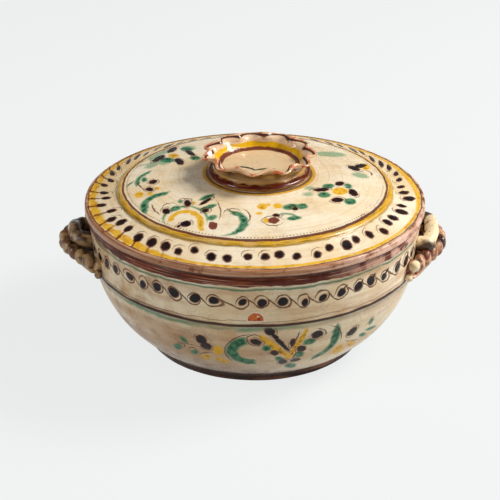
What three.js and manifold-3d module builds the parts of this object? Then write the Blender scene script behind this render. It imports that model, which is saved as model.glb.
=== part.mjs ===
// A lidded earthenware tureen: a thrown bowl with a foot, a thrown lid with a locating flange,
// a knob shaped as a little dish with a crimped rim, and two hand-built handles, each of a rolled
// coil, a crimped strip and four pressed pellets. Millimetres and degrees, +Z up. The origin is
// the centre of the foot's underside, and the handles stand on the X axis.

import * as THREE from 'three';
import { mergeVertices } from 'three/addons/utils/BufferGeometryUtils.js';
import Module from 'manifold-3d';

const wasm = await Module();
wasm.setup();

// Clearance between two pieces that rest on each other
const seatGap = 0.3;

// Bowl: foot ring, flaring belly, ridge, upright band and rim
const footRadius = 93.3;
const footHeight = 11;
const footFlare = 3.4;
const footRingWidth = 14;
const footRingEdge = 1.5;
const footRecess = 3;
const footStep = 4.5;
const bellySpringAngle = 43;
const bellySpringReach = 24;
const bellyTopAngle = 80;
const bellyTopReach = 30.5;
const ridgeRadius = 136.4;
const ridgeHeight = 76;
const ridgeProud = 1.3;
const ridgeWidth = 3.6;
const rimRadius = 137.6;
const rimHeight = 117.6;
const rimRounding = 2.6;
const lipProud = 0.8;
const lipWidth = 8.4;
const lipRise = 1.6;
const bowlWall = 7.5;
const bowlFloor = 9;
const floorSweep = 18;

// Lid: rolled edge, sloping brim, shoulder ring, shallow dome and locating flange
const lidOverhang = 2.7;
const lidEdgeHeight = 6.3;
const lidEdgeRounding = 2.4;
const lidBrimSlope = 14;
const lidBrimWidth = 24;
const lidShoulderSlope = 29;
const lidShoulderWidth = 5.6;
const lidDomeCurve = 540;
const lidWall = 6.5;
const flangeClearance = 1.8;
const flangeWall = 5;
const flangeDepth = 9.5;
const flangeEdge = 1.3;
const flangeSweep = 14;

// Knob: a small dish on a beaded foot, its rim pushed in and out by fingertips
const knobOffset = 3.4;
const knobBeadRadius = 41.6;
const knobBeadHeight = 4.2;
const knobBeadBulge = 1.4;
const knobNeckRadius = 37;
const knobNeckWidth = 1.6;
const knobRimRadius = 43.6;
const knobHeight = 14.9;
const knobWall = 4.4;
const knobFloor = 6;
const knobWellCorner = 1.8;
const crimpCount = 11;
const crimpSwing = 2.8;
const crimpLift = 2.2;
const crimpLean = 34;

// Handles: each a coil in front of the wall, a crimped strip below and outside it, and pellets
// pressed over the strip's ends. Drops are depths below the rim, outs are distances from the wall,
// and turns are degrees along the wall from the handle's middle. A pellet's place is given from
// the strip's end: degrees past it, millimetres above it, and its near side's distance from the wall.
const handleTurn = 6;
const coilRadius = 5.7;
const coilCorner = 6;
const coilRoot = 6;
const coilArch = 0.5;
const coilBend = 1.6;
const coilSplay = 1;
const coilBackFall = 5;
const coilFrontFall = 7;
const coilCornerShare = 0.42;
const stripHalfHeight = 5.6;
const stripHalfThickness = 3.9;
const stripEndDrop = 32.6;
const stripMiddleDrop = 29.1;
const stripRoot = 5;
const stripLeave = 8;
const stripSplay = 0.9;
const stripBowShare = 0.7;
const stripCrimpCount = 12;
const stripCrimpSwing = 1.5;
const stripCrimpLift = 1.2;
const stripCrimpSwell = 0.7;
const upperPelletRadius = 4.8;
const lowerPelletRadius = 3.3;
const handles = [
  {
    name: 'right',
    side: 1,
    coil: { out: 9.6, back: 10.5, front: -13.5, backDrop: 20.6, frontDrop: 19.6 },
    strip: { out: 17, spread: 20 },
    pellets: { upper: { past: 0.4, off: 0, rise: 3.5 }, lower: { past: 2.6, off: -0.3, rise: -5 } },
  },
  {
    name: 'left',
    side: -1,
    coil: { out: 13.2, back: 9, front: -8, backDrop: 25.1, frontDrop: 21.6 },
    strip: { out: 21, spread: 18.8 },
    pellets: { upper: { past: -1.2, off: 3.6, rise: 5 }, lower: { past: 2.2, off: 0.1, rise: -4.6 } },
  },
];

// Facets round the thrown pieces, coils, strips and pellets, and steps along them and their crimps
const turnedSegments = 60;
const stepsPerCrimp = 8;
const stepsPerPinch = 5;
const coilSteps = 18;
const coilFacets = 9;
const stripFacets = 8;
const pelletFacets = 9;

const lidRadius = rimRadius + lidOverhang;
const radians = THREE.MathUtils.degToRad;

const creamGlaze = { color: 0xd9c49a, roughness: 0.28, metalness: 0 };
const brownGlaze = { color: 0x9a6a42, roughness: 0.32, metalness: 0 };
const handleGlaze = { color: 0xc4a676, roughness: 0.32, metalness: 0 };

function point(x, y) {
  return new THREE.Vector2(x, y);
}

function polar(length, degrees) {
  return point(length * Math.cos(radians(degrees)), length * Math.sin(radians(degrees)));
}

// A cubic curve moved sideways by a wall's thickness, towards the axis
function offsetCurve(corners, distance) {
  const sideways = corners.slice(1).map((corner, index) => {
    const along = corner.clone().sub(corners[index]).normalize();
    return point(-along.y, along.x);
  });
  const normals = corners.map((corner, index) => {
    const before = sideways[Math.max(index - 1, 0)];
    const after = sideways[Math.min(index, sideways.length - 1)];
    return before.clone().add(after).normalize();
  });
  return corners.map((corner, index) => corner.clone().addScaledVector(normals[index], distance));
}

// The points of an outline from loose points and curves, each curve with its number of steps
function outlineOf(stretches) {
  const corners = stretches.flatMap((stretch) => (Array.isArray(stretch) ? stretch : [stretch]));
  return corners.filter((corner, index) => index === 0 || corner.distanceTo(corners[index - 1]) > 1e-3);
}

function bend(start, via, end, steps) {
  return new THREE.QuadraticBezierCurve(start, via, end).getPoints(steps);
}

function revolve(outline) {
  return new THREE.LatheGeometry(outline, turnedSegments).rotateX(Math.PI / 2);
}

// The belly from the foot's step up to the ridge, as the four corners of a cubic curve
function bellyCorners() {
  const start = point(footRadius + footFlare + footStep, footHeight + 1);
  const end = point(ridgeRadius - ridgeProud, ridgeHeight - ridgeWidth / 2);
  const spring = start.clone().add(polar(bellySpringReach, bellySpringAngle));
  const top = end.clone().sub(polar(bellyTopReach, bellyTopAngle));
  return [start, spring, top, end];
}

// The outside of the bowl, from the edge of the foot to the outer edge of the rim
// The upright band runs from above the ridge to the rolled lip
const bandFoot = ridgeHeight + ridgeWidth / 2;
const bandFootRadius = ridgeRadius - ridgeProud / 3;
const bandTop = rimHeight - lipWidth - lipRise;
const bandTopRadius = rimRadius - lipProud;

function bowlOutside() {
  const corners = bellyCorners();
  const crest = point(ridgeRadius + ridgeProud / 2, ridgeHeight);
  const aboveRidge = point(bandFootRadius, bandFoot);
  return outlineOf([
    point(footRadius, footRingEdge),
    point(footRadius + footFlare, footHeight),
    new THREE.CubicBezierCurve(...corners).getPoints(6),
    bend(corners[3], crest, aboveRidge, 3),
    point(bandTopRadius, bandTop),
    point(rimRadius, bandTop + lipRise),
    point(rimRadius, rimHeight - rimRounding),
  ]);
}

function bowlOutline() {
  const [base, low, high, neck] = offsetCurve(bellyCorners(), bowlWall);
  const floorTop = footRecess + bowlFloor;
  const inside = rimRadius - bowlWall;
  const ringInside = footRadius - footRingWidth;
  const outerRim = [point(rimRadius, rimHeight - rimRounding), point(rimRadius - rimRounding, rimHeight)];
  const innerRim = [point(inside + rimRounding, rimHeight), point(inside, rimHeight - rimRounding)];
  return outlineOf([
    point(0, footRecess),
    point(ringInside - footRecess, footRecess),
    point(ringInside, 0),
    point(footRadius - footRingEdge, 0),
    bowlOutside(),
    bend(outerRim[0], point(rimRadius, rimHeight), outerRim[1], 2),
    bend(innerRim[0], point(inside, rimHeight), innerRim[1], 2),
    new THREE.CubicBezierCurve(neck, high, low, base).getPoints(5),
    bend(base, point(base.x - floorSweep / 3, floorTop), point(base.x - floorSweep, floorTop), 2),
    point(0, floorTop),
  ]);
}

// The solid that pieces luted to the wall are cut back by: the bowl's outside, grown by the gap
function wallCutter(gap) {
  const grown = bowlOutside().map((corner) => point(corner.x + gap, corner.y));
  return revolve([point(0, 0), ...grown, point(0, rimHeight)]);
}

// Heights of the lid's upper surface
const lidSeat = rimHeight + seatGap;
const brimTop = lidSeat + lidEdgeHeight;
const shoulderRadius = lidRadius - lidEdgeRounding - lidBrimWidth;
const shoulderFoot = brimTop + lidBrimWidth * Math.tan(radians(lidBrimSlope));
const domeRadius = shoulderRadius - lidShoulderWidth;
const domeFoot = shoulderFoot + lidShoulderWidth * Math.tan(radians(lidShoulderSlope));
const domeCentre = domeFoot - Math.sqrt(lidDomeCurve ** 2 - domeRadius ** 2);
const domeTop = domeCentre + lidDomeCurve;

// The dome, or a skin above or below it, from its edge to the axis
function domeArc(curve, edgeRadius, steps) {
  const angle = Math.acos(edgeRadius / curve);
  return new THREE.EllipseCurve(0, domeCentre, curve, curve, angle, Math.PI / 2).getPoints(steps);
}

function lidOutline() {
  const flangeOuter = rimRadius - bowlWall - flangeClearance;
  const flangeInner = flangeOuter - flangeWall;
  const flangeFoot = lidSeat - flangeDepth;
  const underArc = domeArc(lidDomeCurve - lidWall, flangeInner - flangeSweep, 4).reverse();
  const underEdge = underArc[underArc.length - 1];
  const edge = point(lidRadius, brimTop);
  return outlineOf([
    underArc,
    bend(underEdge, point(flangeInner, underEdge.y), point(flangeInner, lidSeat), 3),
    point(flangeInner, flangeFoot + flangeEdge),
    point(flangeInner + flangeEdge, flangeFoot),
    point(flangeOuter - flangeEdge, flangeFoot),
    point(flangeOuter, flangeFoot + flangeEdge),
    point(flangeOuter, lidSeat),
    point(lidRadius - lidEdgeRounding / 2, lidSeat),
    point(lidRadius, lidSeat + lidEdgeRounding / 2),
    bend(point(lidRadius, brimTop - lidEdgeRounding), edge, point(lidRadius - lidEdgeRounding, brimTop), 3),
    point(shoulderRadius, shoulderFoot),
    point(domeRadius, domeFoot),
    domeArc(lidDomeCurve, domeRadius, 5),
  ]);
}

// What lies under the lid's upper surface, grown by the gap: the knob is cut back by it
function lidCutter(gap) {
  const surface = domeArc(lidDomeCurve, domeRadius, 5).map((corner) => point(corner.x, corner.y + gap));
  return revolve([point(0, lidSeat), point(domeRadius, lidSeat), ...surface]);
}

// Closed skin over a grid of rings, each ring a list of points; both ends are closed by fans
function closeRings(rings) {
  const count = rings[0].length;
  const centres = [rings[0], rings[rings.length - 1]].map((ring) => {
    return ring.reduce((sum, corner) => sum.add(corner), new THREE.Vector3()).divideScalar(count);
  });
  const corners = [...rings.flat(), ...centres];
  const faces = [];
  const startCentre = corners.length - 2;
  const lastRing = (rings.length - 1) * count;
  for (let step = 0; step < count; step += 1) {
    const next = (step + 1) % count;
    faces.push(startCentre, next, step);
    faces.push(startCentre + 1, lastRing + step, lastRing + next);
    for (let ring = 0; ring < rings.length - 1; ring += 1) {
      const low = ring * count;
      const high = low + count;
      faces.push(low + step, low + next, high + next);
      faces.push(low + step, high + next, high + step);
    }
  }
  const geometry = new THREE.BufferGeometry().setFromPoints(corners);
  geometry.setIndex(faces);
  return geometry;
}

// The knob's rings, from its foot up the outside, over the rim and down into the well
function knobRings() {
  const foot = domeTop - lidWall / 2;
  const rimTop = domeTop + knobHeight;
  const wellFloor = domeTop + knobFloor;
  const wellRadius = knobNeckRadius - knobWall;
  const bead = point(knobBeadRadius, domeTop);
  const beadTop = point(knobBeadRadius + knobBeadBulge, domeTop + knobBeadHeight);
  const neck = point(knobNeckRadius, domeTop + knobBeadHeight + knobNeckWidth / 2);
  const flare = point(knobNeckRadius, neck.y + 2 * knobNeckWidth);
  const rimOuter = point(knobRimRadius, rimTop - knobWall / 3);
  const rimInner = point(knobRimRadius - knobWall / 2, rimTop);
  const wellEdge = point(wellRadius, wellFloor + knobWellCorner);
  const outline = outlineOf([
    point(knobNeckRadius, foot),
    bend(bead, beadTop, neck, 3),
    bend(neck, flare, rimOuter, 3),
    bend(rimOuter, point(knobRimRadius, rimTop), rimInner, 2),
    bend(rimInner, point(knobNeckRadius, rimTop - knobWall), wellEdge, 3),
    point(wellRadius - knobWellCorner, wellFloor),
  ]);
  return outline.map((corner) => crimpedRing(corner, wellFloor + knobWellCorner, rimOuter.y));
}

// A ring through a point of the knob's outline, crimped more the nearer it lies to the rim
function crimpedRing(corner, calmHeight, fullHeight) {
  const strength = THREE.MathUtils.smoothstep(corner.y, calmHeight, fullHeight);
  const segments = crimpCount * stepsPerCrimp;
  return Array.from({ length: segments }, (unused, step) => {
    const angle = (2 * Math.PI * step) / segments;
    const swing = crimpSwing * strength * Math.cos(crimpCount * angle);
    const lift = crimpLift * strength * Math.sin(crimpCount * angle + radians(crimpLean));
    const radius = corner.x + swing;
    return new THREE.Vector3(radius * Math.cos(angle), radius * Math.sin(angle), corner.y + lift);
  });
}

function toSolid(geometry) {
  const bare = geometry.clone();
  bare.deleteAttribute('normal');
  bare.deleteAttribute('uv');
  const merged = mergeVertices(bare, 1e-4);
  return new wasm.Manifold(new wasm.Mesh({
    numProp: 3,
    vertProperties: merged.attributes.position.array,
    triVerts: new Uint32Array(merged.index.array),
  }));
}

function toGeometry(solid) {
  const mesh = solid.getMesh();
  const geometry = new THREE.BufferGeometry();
  geometry.setAttribute('position', new THREE.BufferAttribute(mesh.vertProperties, 3));
  geometry.setIndex(new THREE.BufferAttribute(mesh.triVerts, 1));
  geometry.computeVertexNormals();
  return geometry;
}

// A point beside the wall: degrees from the handle's middle, distance out, and depth below the rim
function beside(handle, degrees, out, drop) {
  const turn = radians(degrees - handleTurn);
  const height = rimHeight - drop;
  const wall = THREE.MathUtils.mapLinear(height, bandFoot, bandTop, bandFootRadius, bandTopRadius);
  const radius = wall + out;
  return new THREE.Vector3(handle.side * radius * Math.cos(turn), radius * Math.sin(turn), height);
}

// The coil springs from the wall, turns a soft corner and runs along it to the other corner
function coilCurve(handle) {
  const { out, back, front, backDrop, frontDrop } = handle.coil;
  const corner = out - coilCorner;
  const middleDrop = Math.min(backDrop, frontDrop) - coilArch;
  const rootBend = coilBend / 3;
  return new THREE.CatmullRomCurve3([
    beside(handle, back + coilSplay + rootBend, -coilRoot, backDrop + coilBackFall),
    beside(handle, back + coilSplay, corner, backDrop + coilBackFall * coilCornerShare),
    beside(handle, back - coilBend, out, backDrop),
    beside(handle, (back + front) / 2, out, middleDrop),
    beside(handle, front + coilBend, out, frontDrop),
    beside(handle, front - coilSplay, corner, frontDrop + coilFrontFall * coilCornerShare),
    beside(handle, front - coilSplay - rootBend, -coilRoot, frontDrop + coilFrontFall),
  ], false, 'centripetal');
}

// A round coil of clay along its curve, with plain round sections square to it
function coilGeometry(handle, gap) {
  const section = new THREE.Shape();
  section.absarc(0, 0, coilRadius + gap, 0, 2 * Math.PI, false);
  return new THREE.ExtrudeGeometry(section, {
    steps: coilSteps,
    curveSegments: coilFacets,
    bevelEnabled: false,
    extrudePath: coilCurve(handle),
  });
}

// The strip leaves the wall at one end, bows outwards and comes back at the other
function stripCurve(handle) {
  const { out, spread } = handle.strip;
  const root = -stripRoot;
  const leave = root + stripLeave;
  const bow = (root + 2 * out) / 3;
  const bowTurn = spread * stripBowShare;
  const bowDrop = (stripEndDrop + stripMiddleDrop) / 2;
  return new THREE.CatmullRomCurve3([
    beside(handle, spread + stripSplay, root, stripEndDrop),
    beside(handle, spread - stripSplay, leave, stripEndDrop),
    beside(handle, bowTurn, bow, bowDrop),
    beside(handle, 0, out, stripMiddleDrop),
    beside(handle, -bowTurn, bow, bowDrop),
    beside(handle, stripSplay - spread, leave, stripEndDrop),
    beside(handle, -stripSplay - spread, root, stripEndDrop),
  ], false, 'centripetal');
}

// One section of the strip: it swells, swings out and lifts with the pinches along its length
function stripSection(side, phase, gap) {
  const lobe = -Math.cos(phase);
  const swell = stripCrimpSwell * lobe + gap;
  return Array.from({ length: stripFacets }, (unused, corner) => {
    const angle = (2 * Math.PI * (corner + 0.5) * side) / stripFacets;
    const across = (stripHalfThickness + swell) * Math.cos(angle) + stripCrimpSwing * lobe;
    const tall = (stripHalfHeight + swell) * Math.sin(angle) + stripCrimpLift * Math.sin(phase);
    return point(across, tall);
  });
}

// A flat strip standing on edge, pinched into scallops along its length
function stripGeometry(handle, gap) {
  const curve = stripCurve(handle);
  const steps = stripCrimpCount * stepsPerPinch;
  const up = new THREE.Vector3(0, 0, 1);
  const rings = Array.from({ length: steps + 1 }, (unused, step) => {
    const share = step / steps;
    const centre = curve.getPointAt(share);
    const outward = up.clone().cross(curve.getTangentAt(share)).normalize().multiplyScalar(handle.side);
    return stripSection(handle.side, 2 * Math.PI * stripCrimpCount * share, gap).map(({ x, y }) => {
      return centre.clone().addScaledVector(outward, x).addScaledVector(up, y);
    });
  });
  return closeRings(rings);
}

// A ball of clay pressed on beside the strip's end
function pelletGeometry(handle, pellet, way, size) {
  const turn = way * (handle.strip.spread + pellet.past);
  const place = beside(handle, turn, size + pellet.off, stripEndDrop - pellet.rise);
  const ball = new THREE.SphereGeometry(size, pelletFacets, pelletFacets - 3);
  return ball.translate(place.x, place.y, place.z);
}

function addPiece(group, name, geometry, finish) {
  const mesh = new THREE.Mesh(geometry, new THREE.MeshStandardMaterial(finish));
  mesh.name = name;
  group.add(mesh);
}

function buildHandle(handle) {
  const group = new THREE.Group();
  const wall = toSolid(wallCutter(seatGap));
  const coil = toSolid(coilGeometry(handle, 0));
  const grownCoil = toSolid(coilGeometry(handle, seatGap));
  const strip = toSolid(stripGeometry(handle, 0));
  const grownStrip = toSolid(stripGeometry(handle, seatGap));
  addPiece(group, `handle_${handle.name}_coil`, toGeometry(coil.subtract(wall)), handleGlaze);
  const fittedStrip = strip.subtract(wall).subtract(grownCoil);
  addPiece(group, `handle_${handle.name}_strip`, toGeometry(fittedStrip), brownGlaze);
  const sizes = { upper: upperPelletRadius, lower: lowerPelletRadius };
  for (const [end, way] of [['back', 1], ['front', -1]]) {
    for (const [level, pellet] of Object.entries(handle.pellets)) {
      const ball = toSolid(pelletGeometry(handle, pellet, way, sizes[level]));
      const fitted = ball.subtract(wall).subtract(grownCoil).subtract(grownStrip);
      addPiece(group, `pellet_${handle.name}_${end}_${level}`, toGeometry(fitted), creamGlaze);
    }
  }
  return group;
}

function buildKnob() {
  const raw = toSolid(closeRings(knobRings()).translate(knobOffset, 0, 0));
  return toGeometry(raw.subtract(toSolid(lidCutter(seatGap))));
}

const tureen = new THREE.Group();
addPiece(tureen, 'bowl', revolve(bowlOutline()), creamGlaze);
addPiece(tureen, 'lid', revolve(lidOutline()), creamGlaze);
addPiece(tureen, 'knob', buildKnob(), brownGlaze);
for (const handle of handles) {
  tureen.add(buildHandle(handle));
}

export default tureen;
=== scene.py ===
# The looks of a lidded earthenware tureen: thrown and hand-built clay under painted slip and a
# clear glaze. Sizes in the helpers and lists below are millimetres unless a comment says otherwise.

import bpy
import math
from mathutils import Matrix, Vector


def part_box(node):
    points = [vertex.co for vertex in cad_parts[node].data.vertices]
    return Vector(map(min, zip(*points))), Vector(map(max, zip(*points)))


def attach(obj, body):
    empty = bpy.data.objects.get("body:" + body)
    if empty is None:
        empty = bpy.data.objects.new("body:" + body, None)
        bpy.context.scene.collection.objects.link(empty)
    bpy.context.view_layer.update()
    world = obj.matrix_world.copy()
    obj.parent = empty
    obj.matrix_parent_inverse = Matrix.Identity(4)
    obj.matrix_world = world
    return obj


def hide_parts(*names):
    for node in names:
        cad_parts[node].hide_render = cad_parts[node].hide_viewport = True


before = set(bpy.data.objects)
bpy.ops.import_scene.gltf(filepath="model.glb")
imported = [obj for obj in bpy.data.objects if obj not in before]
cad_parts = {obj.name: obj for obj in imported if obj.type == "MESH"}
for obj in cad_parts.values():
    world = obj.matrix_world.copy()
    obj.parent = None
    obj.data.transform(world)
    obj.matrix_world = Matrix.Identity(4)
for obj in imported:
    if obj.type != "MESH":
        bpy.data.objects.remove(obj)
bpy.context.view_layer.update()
scene = bpy.context.scene

MM = 0.001

# What the clay pieces measure, taken from the frame
bowl_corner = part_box("bowl")[1] / MM
lid_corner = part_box("lid")[1] / MM
RIM_RADIUS = bowl_corner.x
RIM_HEIGHT = bowl_corner.z
LID_RADIUS = lid_corner.x
DOME_TOP = lid_corner.z

# The bowl's outline from the foot up
FOOT_RADIUS = 93.3
FOOT_HEIGHT = 11
RIDGE_RADIUS = 136.4
RIDGE_HEIGHT = 76
BOWL_WALL = 7.5
FLOOR_TOP = 12
LIP_TOP = 117.6

# The lid's rings from the edge to the dome
LID_SEAT = RIM_HEIGHT + 0.3
BRIM_TOP = LID_SEAT + 6.3
SHOULDER_RADIUS = LID_RADIUS - 26.4
SHOULDER_FOOT = BRIM_TOP + 6
DOME_RADIUS = SHOULDER_RADIUS - 5.6
DOME_FOOT = SHOULDER_FOOT + 3.1
DOME_CURVE = 540
DOME_PAINT = 106.2
LID_WALL = 6.5
FLANGE_WALL = 5
FLANGE_END = 108

# The knob's dish, a little to the right of the lid's middle, and how its rim is crimped
KNOB_OFFSET = 3.4
KNOB_TOP = DOME_TOP + 17
KNOB_FLOOR = DOME_TOP + 6
KNOB_SUNK = DOME_TOP - 2.2
CRESTS = 11
CREST_SWING = 3.2
CREST_LIFT = 1.3

# Places beside the rim are degrees round from the handle's axis, mm out from the wall and mm below the rim.
# A coil runs through such places, and its palm is one more with three half sizes. A strip is half its spread
# in degrees, how far it stands out, how far its front is drawn in, half its height and the height of the clay
# under it. The pellets are set past the strip's ends by degrees, out and up. Glazes, for the coil and then
# the strip, are a ground, a stain, how little of it there is, and places darkened both by pooled glaze and
# by painted shade in the hollows against the wall.
HANDLE_TURN = 6
COIL_RADIUS = 5.7
COIL_STEPS = 48
STRIP_DROP = 32.6
STRIP_RISE = 1.75
STRIP_HALF = 3.9
CRIMPS = 12
CRIMP_STEPS = 14
WEB_STEPS = 24
HANDLES = {
    "right": {
        "side": 1,
        "coil": [(11.9, -6, 25.6), (11.5, 3.6, 22.6), (8.9, 9.6, 20.6), (2, 9.6, 18.8), (-4, 9.4, 18.8),
                 (-8.4, 8, 20), (-10.4, 5, 21.4)],
        "palm": (-9.6, 5, 21, 10.2, 6.6, 6),
        "strip": (20, 17, 3.4, 5.6, 0),
        "upper": (0.4, 0, 3.5),
        "lower": (2.6, -0.3, -5),
        "glazes": [((252, 226, 178), (132, 74, 38), 0.6, [(142, 12, 99), (139, -44, 90)]),
                   ((214, 152, 108), (118, 50, 28), 0.45, [(146, -22, 90)])],
    },
    "left": {
        "side": -1,
        "coil": [(10.4, -6, 30.1), (10, 7.2, 27.1), (7.4, 13.2, 25.1), (2, 12.8, 21.4), (-2.6, 11, 22),
                 (-5, 6, 24), (-5.6, -6, 27)],
        "palm": (-3.4, 7, 23.6, 10, 8, 5.6),
        "strip": (18.8, 21, 4, 4.6, 3.6),
        "upper": (-1.2, 3.6, 5),
        "lower": (2.2, 0.1, -4.6),
        # The left handle's grounds are darker than the right's: painted shade, as it stands on the side away from
        # the key lamp
        "glazes": [((176, 132, 78), (66, 42, 18), 0.46, [(-150, -1, 98), (-139, -16, 95)]),
                   ((184, 138, 84), (104, 56, 26), 0.46, [(-160, -4, 82)])],
    },
}
UPPER_PELLET = 4.8
LOWER_PELLET = 3.3

# The circles that the painting follows, and how many dots and pricks go round on them
BELLY_CIRCLE = 125
BAND_CIRCLE = 137
BAND_MIDDLE = 96.6
BAND_DOTS = 56
BRIM_CIRCLE = 124.5
BRIM_DOTS = 60
PRICK_CIRCLE = 105
PRICKS = 245
PRICK_PITCH = 105.2 * math.tau / PRICKS

# The cells of the crazing, how deep a scratched line lies and how high a dot stands
CRAZE_SIZE = 4.2
LINE_DEPTH = 0.25
DOT_HEIGHT = 0.14

# The camera, in degrees down and mm, and the lamps, in metres: place, aim, width and watts
CAMERA_TARGET = (-4, 0, 71.2)
CAMERA_TILT = 26.585
CAMERA_DISTANCE = 1000
CAMERA_LENS = 84.914
LAMPS = {
    "key": ((1.6, 0.3, 1.65), (0, 0, 0.1), 0.9, 60),
    "right_fill": ((1.7, -0.9, 0.6), (0, 0, 0.08), 0.7, 7),
    "left_fill": ((-1.7, -0.9, 1.1), (0, 0, 0.1), 0.8, 15),
}
FLOOR_SIZE = 80

# A thrown piece is turned as so many equal sectors
SECTORS = 16

# Colours of the slips and glazes, as a screen shows them
CREAM = (242, 216, 174)
PALE_CREAM = (250, 234, 204)
OCHRE_CREAM = (214, 172, 118)
YELLOW = (238, 180, 34)
DEEP_YELLOW = (170, 112, 18)
GREEN = (46, 130, 90)
DEEP_GREEN = (12, 76, 52)
BROWN = (40, 20, 18)
LINE_BROWN = (92, 44, 20)
BLACK = (18, 16, 24)
RED_BROWN = (112, 36, 18)
TERRACOTTA = (190, 104, 62)

# Brush marks on the lid seen from above, with +y to the back. An oval is x, y, half its length, half its
# width and its turn; a curve is three places and a width.
LID_MARKS = {
    "wash": [(-82.6, 63.1, 9.8, 7, 68), (-76.2, 34.9, 7.7, 4.6, -64), (-86.9, 30.5, 8.1, 5.2, 66),
             (42.1, -40.8, 4.2, 3.2, 26), (44.1, -30.2, 4.3, 3.3, 32), (64.9, 51.6, 13.7, 7.3, 19),
             (87.2, 7, 6.6, 5.7, 10), ((-102, 32), (-91, 35.5), (-80, 35), 3),
             ((-92.5, 52), (-85.5, 59), (-78, 64), 3), (-86.7, 49.7, 26, 5.2, -65),
             (-58, 67.7, 8.7, 5.4, -65)],
    "yellow": [(-70, 48.3, 7.7, 4.3, -74), (-78.7, -22.9, 3.2, 1.9, -71), (-92.7, -29.9, 5.6, 3.5, -84),
               (-83.7, -31.2, 3.4, 1.9, -73), (5.7, -62.8, 4.5, 3.9, 86), (10.3, -60.2, 2.1, 1.9, 77),
               (17.7, -61.4, 4, 3.7, 33), (2.9, -72.8, 2.7, 2, 1), (68.2, -30.3, 7.6, 5.5, 49),
               (94.2, 30.2, 8.9, 3.3, 79), (8.6, -82.3, 3.4, 2.3, 88),
               ((-64.1, -77.2), (-57.8, -66.6), (-48.9, -67.8), 4.6),
               ((-50.4, -67.3), (-42.1, -77), (-42.5, -91.3), 5), (-39.9, -92.4, 2, 1.7, -44),
               (-47.8, -53.9, 2.2, 1.5, -76)],
    "green": [(-59.6, 64.8, 7.7, 4.7, -65), (-74.4, 37.7, 8, 5, -55), (-50.7, 35.5, 5.8, 4, -67),
              (-90.9, -2.1, 4.5, 2, -85), (28, -62.2, 6.2, 4, 20),
              (36.7, -60.5, 4.3, 3.7, 54), (30, -78.4, 5.2, 2.6, 19), (58.9, -23.6, 5.4, 3.4, 44),
              (75.4, -19.3, 4.4, 2.7, 90), (54.9, -39.4, 5.2, 3.9, 34), (75.1, -45.4, 5.5, 3.9, 57),
              ((-87.3, 13.7), (-93.6, 7), (-95.2, -10.5), 3.4), ((-104.2, -10.7), (-102.5, -6), (-100, -2.5), 2),
              ((20.2, -73.6), (27.8, -73), (32.3, -76.8), 1.6),
              ((-69.4, -73.9), (-63.7, -61), (-50, -60.2), 2.2),
              ((-50, -60.2), (-40.7, -66.9), (-36.9, -78.1), 1.8), (-61.7, -60.2, 4.3, 3.4, 48),
              (-58.3, -50.1, 2.3, 1.5, -74), (-37.7, -46.5, 6.6, 2.7, 37), (-36.2, -62.2, 6.9, 2.8, 31),
              (-32.9, -77.5, 3.9, 2.9, 37), ((-18.6, -71.9), (-8.4, -81.7), (-19.4, -98.4), 6),
              (-14, -73, 4.5, 2.7, -24), ((-69.9, -34.6), (-82, -38.3), (-85, -57.3), 5.5),
              (-86.2, -57.5, 4.8, 2.3, -83)],
    "brown": [(-72.4, 67.9, 9.4, 3.7, 77), (-55.7, 51.2, 10.4, 2.8, -67), (-82.6, 46.1, 9.3, 4.3, 69),
              (-64, 30.4, 10, 3.3, -73), (-83, -9.1, 4.2, 3.6, -71), (68.6, -16.5, 5, 3.1, 58),
              (52.9, -31.2, 6.9, 3, 22), (78.6, -30.1, 6, 3.7, -86), (65.2, -45.4, 5.2, 3.6, 31),
              (89.1, 30.2, 8.2, 3.3, 55), (83.3, 21.5, 5.8, 4.7, -49), (-84.8, -22.8, 4.3, 2.8, -57),
              (31.1, -64.8, 2.6, 2.2, 61), (16.3, -75.2, 3.1, 2.4, 8), (84.2, -66.6, 1.5, 0.8, 78),
              (-52.6, -83.1, 4.2, 4.1, 15), (-57.7, -85.4, 2.2, 1.4, 59), (-68.9, -62.8, 4.4, 3, -70),
              (-52.5, -54, 5.1, 2.8, -81), (-38.5, -53.3, 6.4, 2.1, 48), (-37.9, -66.7, 3, 2.7, 71)],
    "red": [(14.3, -82.1, 4.4, 4.2, 43), (-31.7, -88.3, 5.3, 3.6, -82)],
    "line": [((-80.6, -50.3), (-77.6, -60.3), (-74.1, -65.5), 1.1),
             ((-94.9, -4.7), (-92.1, -17.4), (-87.6, -22.8), 1.1),
             ((90.8, 19.9), (96.5, 17.8), (95.9, 10.7), 1.5),
             ((-20.6, -64.9), (-18.6, -69.4), (-15.1, -71), 1.1), ((-9, -66.9), (-3.8, -76), (-6.6, -86.4), 1),
             ((5, -83.5), (12.5, -76), (21, -80), 1), ((5.5, -82), (12, -89), (20.5, -85.5), 1),
             ((-30.2, -53.7), (-26.8, -64.9), (-27.7, -79.6), 1),
             ((-23.5, -71.6), (-19, -65.8), (-11.3, -69.4), 1),
             ((-72, -57.6), (-68.5, -51.6), (-62.1, -53.7), 1),
             ((-60, -47.8), (-55.7, -46.1), (-49.2, -49.9), 1)],
}

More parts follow.
